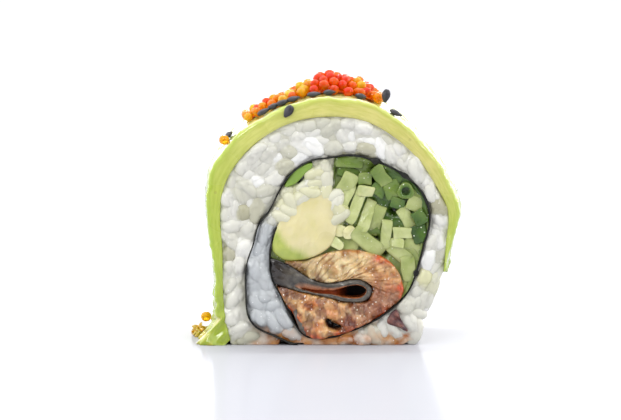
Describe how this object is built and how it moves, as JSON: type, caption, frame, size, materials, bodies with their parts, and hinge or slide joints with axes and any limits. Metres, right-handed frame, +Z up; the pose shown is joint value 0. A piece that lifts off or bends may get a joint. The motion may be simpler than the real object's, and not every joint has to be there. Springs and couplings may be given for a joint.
{
  "type": "uramaki roll",
  "caption": "Thick uramaki roll piece on its side: avocado-wrapped rice spiral with nori, grilled eel, avocado and cucumber filling, roe and black sesame on top.",
  "frame": {"origin": "On the flat base that the roll rests on, below the centre of its spiral and midway between its two cut faces.", "axes": "+Z up. The front cut face, where the filling shows, looks along -Y. +X to the right as seen from the front. The roll's own axis lies along Y."},
  "size_m": [0.052, 0.0269, 0.0528],
  "materials": {
    "rice": "moist, slightly translucent cooked rice",
    "nori": "softened dark seaweed, satin",
    "avocado_green": "wet ripe avocado, green at the skin side",
    "avocado_cream": "creamy avocado flesh",
    "cucumber": "wet cut cucumber with dark green skin",
    "eel": "grilled, flaky flesh with a sweet glaze",
    "eel_skin": "wet grey-brown grilled skin",
    "roe": "shiny translucent beads"
  },
  "bodies": {
    "root": {"rice": "rice", "nori_sheet": "nori", "avocado_slice_front": "avocado_green", "avocado_slice_middle": "avocado_green", "avocado_slice_back": "avocado_green", "avocado_wedge": "avocado_cream", "avocado_sliver": "avocado_green", "cucumber_sticks": "cucumber", "eel_flesh": "eel", "eel_skin": "eel_skin", "eel_skin_side": "eel_skin", "eel_flake": "eel_skin", "roe_mound": "roe", "roe_patch": "roe", "roe_crumbs": "roe"}
  },
  "joints": []
}
